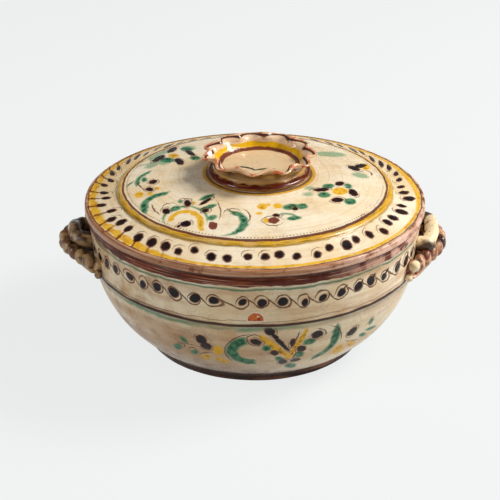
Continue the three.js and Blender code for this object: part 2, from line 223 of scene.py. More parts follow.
# Brush marks on the belly: mm round from the front, and mm up the wall from the foot
BELLY_MARKS = {
    "yellow": [(-39.2, 46.7, 5.7, 3.8, 57), (-27.6, 60.2, 6.6, 3.7, 82), (-25.7, 44.5, 6.2, 3.8, -34),
               (71.9, 44.1, 9.4, 5.5, -66), (84.6, 45.8, 9.9, 4.1, -51),
               ((3.5, 81), (15.5, 67.2), (26.5, 50.5), 6.2),
               ((38.3, 85), (31.5, 69), (26.8, 49.5), 4.6), (27, 52, 5, 3, 60)],
    "green": [(-53.8, 66.5, 3.7, 2.3, -59), (-61.8, 54.1, 5.3, 3.1, 56), (-47.4, 51.9, 4, 2.5, 55),
              (8.6, 65.9, 3.5, 2.9, -75), (19.7, 48.6, 5.1, 2.6, -57), (31.1, 32, 6.7, 4.4, -55),
              (35, 53.1, 4.7, 3.5, -82), (40.9, 69.1, 4.5, 3.5, -1), (93.8, 53.5, 5.6, 2.2, -35),
              (97.3, 68.9, 3.5, 2.4, -86), (101.7, 57.7, 7, 2.2, -19), ((-6.5, 75), (-17, 60.5), (0, 45.5), 8),
              ((60, 79.5), (62.4, 60), (47.5, 41), 6), (62, 68, 8, 3.2, 88), (54.5, 46.5, 7, 3, 40),
              (-3.5, 47, 4, 2.6, 10), (-15.5, 57, 7.5, 3.4, 98), (51, 43.5, 4, 2.6, 40)],
    "brown": [(-39.1, 71.2, 5.6, 4.3, -86), (1.1, 74, 4.6, 3.2, -42), (15, 59.2, 4.3, 2.8, -67),
              (22.9, 42.9, 4.5, 3.7, -80), (33.3, 43.8, 4.4, 3.3, 2), (35.4, 61, 4.5, 3.5, -59),
              (46, 76.1, 4.7, 4.3, -13), (77.8, 66.8, 5.1, 4.2, 65), (-36.5, 64.3, 5.1, 4.3, -80),
              (27.6, 70.8, 4.9, 2.1, -88), (10.4, 86, 5, 3.6, -62), ((9, 88), (18, 74.5), (25.8, 59.5), 3.4)],
    "line": [((31.9, 82), (29.9, 73.4), (27, 63.8), 1.5), ((31.6, 57.1), (31.1, 52), (30.4, 46.8), 1.3),
             ((-59.5, 59.5), (-49.6, 62.1), (-40.1, 60.5), 1), ((-60.3, 59.8), (-54.9, 60.7), (-57.7, 56), 1),
             ((-50.4, 53.9), (-47.8, 58.6), (-45, 56), 1), ((-43.9, 48.4), (-37.5, 54.5), (-31.4, 54.9), 1),
             ((-5.1, 75.1), (-3.5, 80.9), (5.2, 76.9), 1.1), ((-5.1, 77.5), (-1.7, 70), (5.3, 70.3), 1.1),
             ((44.9, 82.9), (50.6, 80.1), (52.8, 73), 1.1), ((73.6, 61.7), (74.7, 69.6), (82, 72.3), 1),
             ((92.4, 68.3), (94.7, 71.2), (98.3, 75.7), 1.4), ((73.7, 56.8), (82.7, 51.7), (90.6, 49), 1),
             ((-3.3, 82.3), (-14.5, 77), (-20.8, 66), 1.2), ((-20.9, 68), (-22, 57), (-16, 43.5), 1.2),
             ((55.5, 83), (65.5, 73), (68, 60), 1.2)],
}


def polar(length, degrees):
    return Vector((length * math.cos(math.radians(degrees)), length * math.sin(math.radians(degrees))))


def curve(corners, steps):
    """Points along a Bezier curve with any number of control corners"""
    points = []
    for step in range(steps + 1):
        row = [Vector(corner) for corner in corners]
        while len(row) > 1:
            row = [start.lerp(end, step / steps) for start, end in zip(row, row[1:])]
        points.append(row[0])
    return points


def outline(*stretches):
    """One list of points from loose points and curves, without doubles"""
    points = []
    for stretch in stretches:
        for point in stretch if isinstance(stretch, list) else [stretch]:
            point = Vector(point)
            if not points or (point - points[-1]).length > 0.05:
                points.append(point)
    return points


def through(corners, steps):
    """Points along a smooth curve that passes through all its corners"""
    corners = [2 * corners[0] - corners[1], *corners, 2 * corners[-1] - corners[-2]]
    points = []
    for a, b, c, d in zip(corners, corners[1:], corners[2:], corners[3:]):
        first = math.sqrt((b - a).length)
        second = first + math.sqrt((c - b).length)
        third = second + math.sqrt((d - c).length)
        for step in range(steps):
            here = first + (second - first) * step / steps
            middle = b.lerp(c, (here - first) / (second - first))
            before = a.lerp(b, here / first).lerp(middle, here / second)
            beyond = c.lerp(d, (here - second) / (third - second))
            after = middle.lerp(beyond, (here - first) / (third - first))
            points.append(before.lerp(after, (here - first) / (second - first)))
    return points + [corners[-2]]


def evenly(points, count):
    """The same path with its points at equal distances"""
    lengths = [0]
    for before, after in zip(points, points[1:]):
        lengths.append(lengths[-1] + (after - before).length)
    spread, index = [], 0
    for step in range(count + 1):
        goal = lengths[-1] * step / count
        while index < len(points) - 2 and lengths[index + 1] < goal:
            index += 1
        share = (goal - lengths[index]) / (lengths[index + 1] - lengths[index])
        spread.append(points[index].lerp(points[index + 1], share))
    return spread


def beside(side, degrees, out, drop):
    """A place beside the rim, on the right for a side of 1 and on the left for -1"""
    height = RIM_HEIGHT - drop
    share = (height - RIDGE_HEIGHT) / (RIM_HEIGHT - RIDGE_HEIGHT)
    wall = RIDGE_RADIUS + (RIM_RADIUS - RIDGE_RADIUS) * share
    x, y = polar(wall + out, degrees - HANDLE_TURN)
    return Vector((side * x, y, height))


def deselect_all():
    if bpy.context.object and bpy.context.object.mode != "OBJECT":
        bpy.ops.object.mode_set(mode="OBJECT")
    bpy.ops.object.select_all(action="DESELECT")


def take_up(piece):
    """Makes a piece the only one selected, and the active one"""
    deselect_all()
    piece.select_set(True)
    bpy.context.view_layer.objects.active = piece


def throw(name, profile, segments=320):
    """Turns a piece as on the wheel: a profile drawn point by point is spun round Z, sector by sector"""
    deselect_all()
    bpy.ops.mesh.primitive_plane_add(size=MM)
    piece = bpy.context.object
    piece.name = name
    bpy.ops.object.mode_set(mode="EDIT")
    bpy.ops.mesh.select_all(action="SELECT")
    bpy.ops.mesh.merge(type="CENTER")
    bpy.ops.transform.translate(value=(profile[0].x * MM, 0, profile[0].y * MM))
    for before, after in zip(profile, profile[1:]):
        step = (after - before) * MM
        bpy.ops.mesh.extrude_vertices_move(TRANSFORM_OT_translate={"value": (step.x, 0, step.y)})
    bpy.ops.mesh.select_all(action="SELECT")
    sector = math.tau / SECTORS
    bpy.ops.mesh.spin(steps=segments // SECTORS, angle=sector, center=(0, 0, 0), axis=(0, 0, 1))
    bpy.ops.mesh.select_all(action="SELECT")
    bpy.ops.mesh.spin(steps=SECTORS - 1, angle=math.tau - sector, dupli=True, center=(0, 0, 0), axis=(0, 0, 1))
    bpy.ops.mesh.select_all(action="SELECT")
    bpy.ops.mesh.remove_doubles(threshold=0.001 * MM)
    bpy.ops.mesh.normals_make_consistent(inside=False)
    bpy.ops.object.mode_set(mode="OBJECT")
    return piece


def apply_modifier(piece, name, kind, **settings):
    take_up(piece)
    modifier = piece.modifiers.new(name, kind)
    for key, value in settings.items():
        setattr(modifier, key, value)
    bpy.ops.object.modifier_apply(modifier=modifier.name)


def soften(piece, strength, size):
    """Smooth shading, and the slight unevenness of hand-thrown clay"""
    take_up(piece)
    bpy.ops.object.shade_smooth()
    texture = bpy.data.textures.new(piece.name + "_waver", "CLOUDS")
    texture.noise_scale = size * MM
    texture.noise_depth = 1
    apply_modifier(piece, "waver", "DISPLACE", texture=texture, strength=strength * MM,
                   mid_level=0.5, texture_coords="LOCAL")


def belly_corners():
    """The corners of the belly's curve, from the foot to the ridge"""
    start = Vector((FOOT_RADIUS + 7.9, FOOT_HEIGHT + 1))
    end = Vector((RIDGE_RADIUS - 1.3, RIDGE_HEIGHT - 1.8))
    return [start, start + polar(24, 43), end - polar(30.5, 80), end]


def build_bowl():
    """The bowl from the middle of its underside, up the outside and down the inside to its floor"""
    corners = belly_corners()
    inner = [corner + Vector((-BOWL_WALL * 0.8, BOWL_WALL * 0.6)) for corner in corners[:2]]
    inner += [corner - Vector((BOWL_WALL, 0)) for corner in corners[2:]]
    inside = RIM_RADIUS - BOWL_WALL
    profile = outline(
        (0, 3), (76, 3), (79, 0.6), (79.6, 0), (91.2, 0),
        curve([(91.8, 0), (93.3, 0), (93.3, 1.5)], 3),
        curve([(93.3, 2), (93.4, 7), (96.4, 10.2)], 5),
        curve([(97, 11), (98.4, 11.6), corners[0]], 3),
        curve(corners, 22),
        curve([corners[3], (RIDGE_RADIUS + 1.1, RIDGE_HEIGHT), (RIDGE_RADIUS - 0.4, RIDGE_HEIGHT + 2.2)], 6),
        curve([(136.2, 79), (136.1, 94), (136.9, 107.4)], 8),
        curve([(137.6, 108.2), (138, 112), (137.5, 115.4), (136.4, 117.4), (134.6, LIP_TOP)], 7),
        curve([(132.4, LIP_TOP), (inside, LIP_TOP), (inside, LIP_TOP - 2.8)], 4),
        curve([inner[3], inner[2], inner[1], inner[0]], 16),
        curve([inner[0], inner[0] - Vector((6, 4.6)), (inner[0].x - 18, FLOOR_TOP)], 4),
        (60, FLOOR_TOP), (30, FLOOR_TOP), (0, FLOOR_TOP),
    )
    return throw("bowl_thrown", profile)


def dome_height(radius, skin=0):
    """The dome's height at a distance from its middle; a skin below 0 gives its inside"""
    centre = DOME_FOOT - math.sqrt(DOME_CURVE ** 2 - DOME_RADIUS ** 2)
    return centre + math.sqrt((DOME_CURVE + skin) ** 2 - radius ** 2)


def build_lid():
    """The lid from the middle of its underside, round the flange and the edge, to the middle of its dome"""
    flange_outer = RIM_RADIUS - BOWL_WALL - 1.8
    flange_inner = flange_outer - FLANGE_WALL
    turn = (flange_inner - 14, dome_height(flange_inner - 14, -LID_WALL))
    profile = outline(
        *[(radius, dome_height(radius, -LID_WALL)) for radius in (0, 30, 60, 90)],
        curve([turn, (flange_inner, turn[1]), (flange_inner, LID_SEAT)], 6),
        (flange_inner, FLANGE_END + 4), (flange_inner + 0.3, FLANGE_END + 1.4),
        curve([(flange_inner + 1.3, FLANGE_END + 0.4), (flange_outer, FLANGE_END),
               (flange_outer, FLANGE_END + 2)], 4),
        (flange_outer, FLANGE_END + 6), (flange_outer, LID_SEAT - 0.6),
        (flange_outer + 0.6, LID_SEAT), (134, LID_SEAT),
        curve([(LID_RADIUS - 1.4, LID_SEAT), (LID_RADIUS, LID_SEAT), (LID_RADIUS, LID_SEAT + 1.6)], 4),
        curve([(LID_RADIUS - 0.3, LID_SEAT + 3), (LID_RADIUS + 0.2, BRIM_TOP), (LID_RADIUS - 2.4, BRIM_TOP)], 6),
        curve([(LID_RADIUS - 3.4, BRIM_TOP - 0.3), (LID_RADIUS - 14, BRIM_TOP + 2.9),
               (SHOULDER_RADIUS + 1, SHOULDER_FOOT - 0.4)], 9),
        curve([(SHOULDER_RADIUS, SHOULDER_FOOT), (DOME_RADIUS + 4, DOME_FOOT - 0.4), (DOME_RADIUS, DOME_FOOT)], 6),
        *[(radius, dome_height(radius)) for radius in (DOME_PAINT, 104, 96, 86, 74, 60, 45, 30, 15, 0)],
    )
    return throw("lid_thrown", profile)


def build_knob():
    """The knob's dish, its foot sunk a little into the lid's dome"""
    foot, crest = DOME_TOP, KNOB_TOP
    profile = outline(
        (0, KNOB_SUNK), (34, KNOB_SUNK), (40.6, foot - 1.2),
        curve([(41.8, foot - 0.4), (43.4, foot + 2.2), (39.6, foot + 3.4)], 7),
        curve([(38.2, foot + 3.8), (36.6, foot + 4.6), (36.6, foot + 7.2), (39.8, crest - 4.4),
               (43, crest - 3)], 12),
        curve([(44.2, crest - 2.4), (45.6, crest - 1.4), (45, crest - 0.2), (43.8, crest)], 8),
        curve([(43.2, crest + 0.1), (41.2, crest - 0.5), (38.6, crest - 1.8), (37.6, crest - 3.6)], 8),
        curve([(37.2, crest - 4.8), (36, foot + 9.4), (33, foot + 7.2)], 6),
        curve([(32.4, foot + 6.8), (31.6, KNOB_FLOOR), (29, KNOB_FLOOR)], 4),
        (20, KNOB_FLOOR), (10, KNOB_FLOOR), (0, KNOB_FLOOR),
    )
    return throw("knob_thrown", profile, segments=352)


def crimp_rim(piece, calm, full):
    """Fingertips press a rim in and out, so that its crest runs in a zigzag, lower where it leans out"""
    for vertex in piece.data.vertices:
        x, y, z = (value / MM for value in vertex.co)
        share = min(max((z - calm) / (full - calm), 0), 1)
        radius = math.hypot(x, y)
        if share == 0 or radius < 1:
            continue
        angle = math.atan2(y, x)
        press = math.cos(CRESTS * angle + 0.5 * math.sin(2 * angle + 1))
        moved = radius + CREST_SWING * share ** 1.6 * press
        height = z - CREST_LIFT * share * press
        vertex.co = Vector((moved * math.cos(angle), moved * math.sin(angle), height)) * MM


def rope(name, points, widths, across, tall, aside=0, tilt=0):
    """Clay rolled out along a path, round or flattened, its width changing from point to point"""
    deselect_all()
    bpy.ops.curve.primitive_bezier_circle_add(radius=MM)
    section = bpy.context.object
    section.data.resolution_u = 7
    bpy.ops.object.mode_set(mode="EDIT")
    bpy.ops.transform.resize(value=(across, tall, 1))
    bpy.ops.transform.translate(value=(aside * MM, 0, 0))
    bpy.ops.transform.rotate(value=-math.radians(tilt), orient_axis="Z", center_override=(0, 0, 0))
    bpy.ops.object.mode_set(mode="OBJECT")
    deselect_all()
    bpy.ops.curve.primitive_nurbs_path_add()
    piece = bpy.context.object
    piece.name = name
    path = piece.data.splines[0]
    path.points.add(len(points) - len(path.points))
    for place, point, width in zip(path.points, points, widths):
        place.co = (*(point * MM), 1)
        place.radius = width
    path.order_u = 3
    path.use_endpoint_u = True
    piece.data.twist_mode = "Z_UP"
    piece.data.resolution_u = 2
    piece.data.bevel_mode = "OBJECT"
    piece.data.bevel_object = section
    piece.data.use_fill_caps = True
    take_up(piece)
    bpy.ops.object.convert(target="MESH")
    take_up(section)
    bpy.ops.object.delete()
    return piece


def ball(name, centre, size, turn, stretch=(0.93, 1.04, 0.98)):
    """A pellet rolled between the palms and pressed on: a little flat towards the wall, never quite round"""
    deselect_all()
    bpy.ops.mesh.primitive_ico_sphere_add(subdivisions=5, radius=size * MM)
    piece = bpy.context.object
    piece.name = name
    bpy.ops.object.mode_set(mode="EDIT")
    bpy.ops.mesh.select_all(action="SELECT")
    bpy.ops.transform.resize(value=stretch)
    bpy.ops.transform.rotate(value=-turn, orient_axis="Z", center_override=(0, 0, 0))
    bpy.ops.transform.translate(value=centre * MM)
    bpy.ops.object.mode_set(mode="OBJECT")
    return piece


def merge_clay(piece, *others, grain=0.55):
    """Joins lumps of soft clay into one smooth skin"""
    take_up(piece)
    for other in others:
        other.select_set(True)
    bpy.ops.object.join()
    apply_modifier(piece, "one_skin", "REMESH", mode="VOXEL", voxel_size=grain * MM)
    apply_modifier(piece, "wet_finger", "SMOOTH", factor=0.5, iterations=6)
    return piece


def build_coil(side, corners, palm):
    """A rolled grip whose front end is pressed flat against the wall"""
    path = evenly(through([beside(side, *corner) for corner in corners], 12), COIL_STEPS)
    flare = [1 + 0.3 * max(0, 1 - step / 6) - 0.12 * max(0, step / 6 - 7) for step in range(COIL_STEPS + 1)]
    coil = rope("coil", path, flare, COIL_RADIUS, COIL_RADIUS)
    degrees, out, drop, *stretch = palm
    centre = beside(side, degrees, out, drop)
    return merge_clay(coil, ball("palm", centre, 1, math.atan2(centre.y, centre.x), stretch))


def build_strip(side, spread, out, drawn_in, tall, shelf):
    """A flat strip on edge, pinched into scallops; its ends are wiped on to the wall"""
    quarter = (2 * out - 5) / 3
    corners = [(spread + 0.8, -5, 0), (spread - 1, 3, 0), (spread * 0.7, quarter, -STRIP_RISE),
               (0, out, -2 * STRIP_RISE), (-spread * 0.7, quarter - drawn_in, -STRIP_RISE),
               (1 - spread, 3 - drawn_in / 2, 0), (-spread - 0.8, -5, 0)]
    corners = [beside(side, degrees, away, STRIP_DROP + drop) for degrees, away, drop in corners]
    count = CRIMPS * CRIMP_STEPS
    path = evenly(through(corners, 20), count)
    points, widths = [], []
    for step, point in enumerate(path):
        along = path[min(step + 1, count)] - path[max(step - 1, 0)]
        outward = Vector((0, 0, 1)).cross(along).normalized() * side
        phase = math.tau * CRIMPS * step / count
        lobe = -math.cos(phase)
        points.append(point + outward * 1.5 * lobe + Vector((0, 0, 1.2 * math.sin(phase))))
        widths.append(1 + 0.14 * lobe)
    strip = rope("strip", points, widths, STRIP_HALF, tall)
    # The clay that fills the strip in from the wall, lower at the ends
    bracket, reach = [], []
    for step in range(WEB_STEPS + 1):
        degrees = (spread + 1) * (1 - 2 * step / WEB_STEPS)
        bracket.append(beside(side, degrees, -2, RIM_HEIGHT - RIDGE_HEIGHT - 1 - shelf))
        narrow = 1 if degrees > 0 else 1 - 1.4 * drawn_in / out * min(1, -degrees / spread / 0.7)
        reach.append((0.3 + 0.7 * math.sqrt(max(0, 1 - (degrees / (spread + 3)) ** 2))) * narrow)
    web = rope("web", bracket, reach, (out + 3.5) / 2, 1.7 + shelf / 4,
               aside=-side * (out + 0.5) / 2, tilt=-side * 12)
    return merge_clay(strip, web)


def build_handle(name, side, coil, palm, strip, upper, lower, glazes):
    spread = strip[0]
    coil_glaze = paint_handles(f"{name}_coil_glaze", *glazes[0])
    strip_glaze = paint_handles(f"{name}_strip_glaze", *glazes[1])
    piece = build_coil(side, coil, palm)
    piece.name = f"{name}_coil"
    soften(piece, 1.1, 14)
    dress(piece, coil_glaze, "bowl", "handle_glaze", f"handle_{name}_coil")
    piece = build_strip(side, *strip)
    piece.name = f"{name}_strip"
    soften(piece, 1.1, 12)
    dress(piece, strip_glaze, "bowl", "brown_banded_glaze", f"handle_{name}_strip")
    for end, way in (("back", 1), ("front", -1)):
        for level, size, (past, off, rise) in (("upper", UPPER_PELLET, upper), ("lower", LOWER_PELLET, lower)):
            centre = beside(side, way * (spread + past), size + off, STRIP_DROP - rise)
            piece = ball(f"{name}_{end}_{level}", centre, size, math.atan2(centre.y, centre.x))
            soften(piece, 0.9, 5)
            dress(piece, coil_glaze, "bowl", "handle_glaze", f"pellet_{name}_{end}_{level}")


def shift(piece, x):
    take_up(piece)
    bpy.ops.object.mode_set(mode="EDIT")
    bpy.ops.mesh.select_all(action="SELECT")
    bpy.ops.transform.translate(value=(x * MM, 0, 0))
    bpy.ops.object.mode_set(mode="OBJECT")


def tint(red, green, blue):
    """A linear colour from the 0 to 255 values of a screen"""
    return tuple((value / 255) ** 2.2 for value in (red, green, blue)) + (1,)


class Paint:
    """Glazed clay under construction: each method adds a shader node and gives back its output"""

    def __init__(self, name, offset=0):
        self.material = bpy.data.materials.new(name)
        self.material.use_nodes = True
        self.tree = self.material.node_tree
        self.shader = self.tree.nodes["Principled BSDF"]
        self.place = self.vector("SCALE", self.node("ShaderNodeTexCoord").outputs["Object"], scale=1 / MM)
        if offset:
            self.place = self.vector("SUBTRACT", self.place, (offset, 0, 0))
        self.x, self.y, self.z = self.node("ShaderNodeSeparateXYZ", self.place).outputs
        self.radius = self.vector("LENGTH", self.point(self.x, self.y, 0))
        self.turn = None
        self.colour = None
        self.height = None

    def node(self, kind, *values, **settings):
        added = self.tree.nodes.new(kind)
        for key, value in settings.items():
            setattr(added, key, value)
        for socket, value in zip(added.inputs, values):
            self.feed(socket, value)
        return added

    def feed(self, socket, value):
        if isinstance(value, bpy.types.NodeSocket):
            self.tree.links.new(value, socket)
        elif value is not None:
            socket.default_value = value

    def math(self, operation, *values):
        return self.node("ShaderNodeMath", *values, operation=operation).outputs[0]

    def plus(self, first, second):
        return self.math("ADD", first, second)

    def minus(self, first, second):
        return self.math("SUBTRACT", first, second)

    def times(self, first, second):
        return self.math("MULTIPLY", first, second)

    def over(self, first, second):
        return self.math("DIVIDE", first, second)

    def linear(self, value, slope, base):
        """The value times the slope, plus the base"""
        return self.math("MULTIPLY_ADD", value, slope, base)

    def vector(self, operation, *values, scale=None):
        added = self.node("ShaderNodeVectorMath", *values, operation=operation)
        if scale is not None:
            self.feed(added.inputs["Scale"], scale)
        return added.outputs[1 if operation in ("LENGTH", "DISTANCE", "DOT_PRODUCT") else 0]

    def point(self, x, y, z):
        return self.node("ShaderNodeCombineXYZ", x, y, z).outputs[0]

    def noise(self, size, detail=2, place=None):
        """Soft noise from 0 to 1 whose lumps are about so many mm wide"""
        return self.node("ShaderNodeTexNoise", place or self.place, None, 1 / size, detail).outputs[0]

    def step(self, value, start, end, low=0.0, high=1.0):
        """Rises smoothly from low to high while the value goes from start to end"""
        added = self.node("ShaderNodeMapRange", value, start, end, low, high, interpolation_type="SMOOTHSTEP")
        return added.outputs[0]

    def cloud(self, size, detail, start, end, low=0.0, high=1.0):
        """Soft patches: noise that rises from low to high between two of its values"""
        return self.step(self.noise(size, detail), start, end, low, high)

    def wobble(self, value, size, much):
        """A value that strays a little, so that what follows it isn't ruled"""
        return self.plus(value, self.cloud(size, 2, 0.2, 0.8, -much, much))

    def dice(self, cell, row, seed):
        """Three chance numbers from 0 to 1 for each cell of a row"""
        corner = self.point(self.math("FLOOR", cell), row, seed)
        chance = self.node("ShaderNodeTexWhiteNoise", corner).outputs["Color"]
        return self.node("ShaderNodeSeparateColor", chance).outputs

    def mix(self, share, first, second, blend="MIX"):
        added = self.node("ShaderNodeMix", data_type="RGBA", blend_type=blend)
        self.feed(added.inputs[0], share)
        self.feed(added.inputs[6], first)
        self.feed(added.inputs[7], second)
        return added.outputs[2]

    def coat(self, share, colour, within=None):
        """Lays a colour over what is painted so far, all over or within a painted place"""
        share = share if within is None else self.times(within, share)
        self.colour = self.mix(share, self.colour, tint(*colour))

    def stain(self, share, colour):
        """Darkens what is painted so far by multiplying with that colour, as a thin stain does; it also lays
        painted shade
        """
        self.colour = self.mix(share, self.colour, tint(*colour), "MULTIPLY")

    def band(self, value, centre, half, soft, strength, colour):
        self.coat(self.step(self.ring(value, centre, half), soft, -soft, 0, strength), colour)

    def raise_by(self, amount):
        self.height = amount if self.height is None else self.plus(self.height, amount)

    def stray(self, place, much, size):
        """A place pushed a little to any side, so that painted edges run as a brush leaves them"""
        noise = self.node("ShaderNodeTexNoise", self.place, None, 1 / size, 2).outputs["Color"]
        offset = self.vector("MULTIPLY", self.vector("SUBTRACT", noise, (0.5, 0.5, 0.5)), (much, much, 0))
        return self.vector("ADD", place, offset)

    def dab(self, plane, x, y, long, wide, turn=0):
        """Distance in mm from the edge of an oval brush mark, negative inside"""
        added = self.node("ShaderNodeMapping", plane, (x, y, 0), (0, 0, math.radians(turn)), (long, wide, 1),
                          vector_type="TEXTURE")
        size = math.sqrt(long * wide)
        return self.linear(self.vector("LENGTH", added.outputs[0]), size, -size)

    def arc(self, plane, start, middle, end, thick):
        """Distance from the edge of a curved stroke through three places"""
        start, middle, end = Vector(start), Vector(middle), Vector(end)
        chord = end - start
        rise = abs(chord.cross(middle - start)) / chord.length
        if rise < 0.07 * chord.length:
            x, y = (start + 2 * middle + end) / 4
            return self.dab(plane, x, y, chord.length * 0.52, thick / 2, math.degrees(math.atan2(chord.y, chord.x)))
        (ax, ay), (bx, by), (cx, cy) = start, middle, end
        twice = 2 * (ax * (by - cy) + bx * (cy - ay) + cx * (ay - by))
        squares = [place.length_squared for place in (start, middle, end)]
        x = (squares[0] * (by - cy) + squares[1] * (cy - ay) + squares[2] * (ay - by)) / twice
        y = (squares[0] * (cx - bx) + squares[1] * (ax - cx) + squares[2] * (bx - ax)) / twice
        centre = Vector((x, y))
        radius = (start - centre).length
        aim = (start + end) / 2 - centre if rise < radius else middle - centre
        aim.normalize()
        if aim.dot(middle - centre) < 0:
            aim = -aim
        reach = max(aim.angle(start - centre), aim.angle(end - centre))
        if rise < 1.7 * thick:
            band = self.ring(self.vector("DISTANCE", plane, (x, y, 0)), radius, thick / 2)
            limit = radius * math.cos(reach) + aim.dot(centre)
            return self.math("MAXIMUM", band, self.minus(limit, self.vector("DOT_PRODUCT", plane, (*aim, 0))))
        outer = radius + thick / 2
        shift = thick * (2 * outer - thick) / (2 * (outer - thick - outer * math.cos(min(reach * 1.12, 2.9))))
        outside = self.minus(self.vector("DISTANCE", plane, (x, y, 0)), outer)
        hollow = centre - shift * aim
        inside = self.minus(outer - thick + shift, self.vector("DISTANCE", plane, (*hollow, 0)))
        return self.math("MAXIMUM", outside, inside)

    def strokes(self, plane, marks):
        """The nearest of many brush marks: five numbers are an oval, three places and a width are a curve"""
        nearest = None
        for mark in marks:
            distance = self.dab(plane, *mark) if len(mark) == 5 else self.arc(plane, *mark)
            nearest = distance if nearest is None else self.math("MINIMUM", nearest, distance)
        return nearest

    def ring(self, value, centre, half):
        """Distance from the edge of a painted band, negative inside"""
        return self.minus(self.math("ABSOLUTE", self.minus(value, centre)), half)

    def streaks(self, long, short, detail=3):
        """Noise drawn out round the pot, as a wheel or a wiping hand leaves it"""
        across = self.over(self.minus(self.z, self.radius), short)
        return self.noise(1, detail, self.point(self.over(self.x, long), self.over(self.y, long), across))

    def finish(self, roughness, bump=1.0, coat=0.0, shine=0.5):
        added = self.node("ShaderNodeBump")
        added.inputs["Distance"].default_value = MM
        added.inputs["Strength"].default_value = bump
        self.feed(added.inputs["Height"], self.height)
        self.feed(self.shader.inputs["Normal"], added.outputs[0])
        self.feed(self.shader.inputs["Base Color"], self.colour)
        self.feed(self.shader.inputs["Roughness"], roughness)
        self.shader.inputs["Specular IOR Level"].default_value = shine
        self.shader.inputs["Coat Weight"].default_value = coat
        self.shader.inputs["Coat Roughness"].default_value = 0.08
        return self.material


def dress(piece, material, body, slot, *nodes):
    """Gives a piece its material, or several materials with a rule that picks one for each face"""
    piece.data.materials.clear()
    if isinstance(material, tuple):
        *materials, zone = material
        for face in piece.data.polygons:
            face.material_index = zone(face.center / MM, face.normal)
    else:
        materials = [material]
    for one in materials:
        piece.data.materials.append(one)
    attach(piece, body)
    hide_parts(*nodes)


def lid_zone(centre, normal):
    """The brim and edge, the dome inside the brown line, or the bare underside"""
    radius = math.hypot(centre.x, centre.y)
    if normal.z < 0.2 and radius < RIM_RADIUS:
        return 2
    return 1 if radius < DOME_PAINT else 0


def bowl_zone(centre, normal):
    """The painted outside, the glazed inside, or the bare ground within the foot ring"""
    radius = math.hypot(centre.x, centre.y)
    if centre.z < 4 and radius < FOOT_RADIUS - 1.6:
        return 2
    facing_in = centre.x * normal.x + centre.y * normal.y < -0.05 * radius
    return 1 if facing_in or normal.z > 0.5 and radius < RIM_RADIUS - BOWL_WALL + 1.5 else 0


def lay_ground(paint, waves):
    """Cream slip under clear glaze: thin and thick places, ochre stains, throwing rings and specks"""
    paint.colour = paint.mix(paint.cloud(34, 3, 0.32, 0.68), tint(*CREAM), tint(*PALE_CREAM))
    paint.coat(paint.times(paint.cloud(21, 4, 0.5, 0.78), 0.55), OCHRE_CREAM)
    rings = paint.noise(1, 2, waves)
    paint.coat(paint.times(paint.step(rings, 0.5, 0.75), 0.3), OCHRE_CREAM)
    paint.coat(paint.cloud(1.3, 1, 0.76, 0.82, 0, 0.55), LINE_BROWN)
    paint.height = paint.times(rings, 0.35)
    paint.raise_by(paint.times(paint.noise(5, 1), 0.25))


def pot(name):
    """A paint with its ground laid; its turn is 0 at the front, more to the right and less to the left"""
    paint = Paint(name)
    paint.turn = paint.math("ARCTAN2", paint.x, paint.times(paint.y, -1))
    waves = paint.times(paint.minus(paint.z, paint.radius), 0.4)
    lay_ground(paint, paint.point(waves, paint.over(paint.x, 90), paint.over(paint.y, 90)))
    return paint


def glaze(paint, patch, polished, dull, **settings):
    """Fine brown cracks in the glaze, stronger here and there, and a gloss that changes from patch to patch"""
    cells = paint.node("ShaderNodeTexVoronoi", paint.place, None, 1 / CRAZE_SIZE, feature="DISTANCE_TO_EDGE")
    crack = paint.step(cells.outputs["Distance"], 0.035, 0.0)
    paint.coat(paint.times(crack, paint.cloud(26, 2, 0.42, 0.7, 0.05, 0.4)), LINE_BROWN)
    return paint.finish(paint.cloud(patch, 3, 0.3, 0.7, polished, dull), **settings)


def brush(paint, plane, marks):
    """Lays the painted marks: washes first, then yellow, green and dark dabs, then the scratched lines"""
    loaded = paint.noise(3.5, 3)
    if "wash" in marks:
        paint.coat(paint.step(paint.strokes(plane, marks["wash"]), 2.5, -2, 0, 0.75), (116, 160, 118))
    yellow = paint.strokes(plane, marks["yellow"])
    paint.coat(paint.step(yellow, 0.7, -0.7, 0, 0.95), YELLOW)
    paint.coat(paint.times(paint.step(yellow, 0, -3), paint.step(loaded, 0.45, 0.7)), DEEP_YELLOW)
    green = paint.strokes(plane, marks["green"])
    paint.coat(paint.step(green, 1.7, -0.8, 0, 0.9), GREEN)
    paint.coat(paint.times(paint.step(green, 0.2, -2.2), paint.step(loaded, 0.36, 0.6)), DEEP_GREEN)
    if "red" in marks:
        paint.coat(paint.step(paint.strokes(plane, marks["red"]), 0.5, -0.5, 0, 0.95), RED_BROWN)
    dark = paint.strokes(plane, marks["brown"])
    dark_dab(paint, dark, (0.9, -0.2, 0, 0.8), (0.2, -0.9), (-0.8, -2.2), paint.step(loaded, 0.4, 0.6))
    loops = paint.times(paint.step(paint.ring(dark, 1.6, 0.3), 0.35, -0.25), paint.cloud(9, 1, 0.44, 0.52))
    line = paint.step(paint.strokes(plane, marks["line"]), 0.35, -0.3)
    paint.coat(paint.times(paint.math("MAXIMUM", line, loops), 0.85), LINE_BROWN)
    paint.raise_by(paint.times(line, -LINE_DEPTH))


def dark_dab(paint, distance, edge, body, heart, share):
    """A dab of dark slip: thin and red-brown at its edge, brown further in, and black where it is thick"""
    paint.coat(paint.step(distance, *edge), RED_BROWN)
    paint.coat(paint.step(distance, *body, 0, 0.97), BROWN)
    paint.coat(paint.times(paint.step(distance, *heart), share), BLACK)


def rub(paint, value, stray, start):
    """How far an edge is rubbed, from a value outwards, and the long and short streaks of the rubbing"""
    long, short = paint.streaks(34, 1.7), paint.streaks(46, 1.3, 4)
    edge = paint.step(paint.plus(value, paint.step(long, 0.3, 0.7, -stray, stray)), start, start + 0.8)
    return edge, long, short


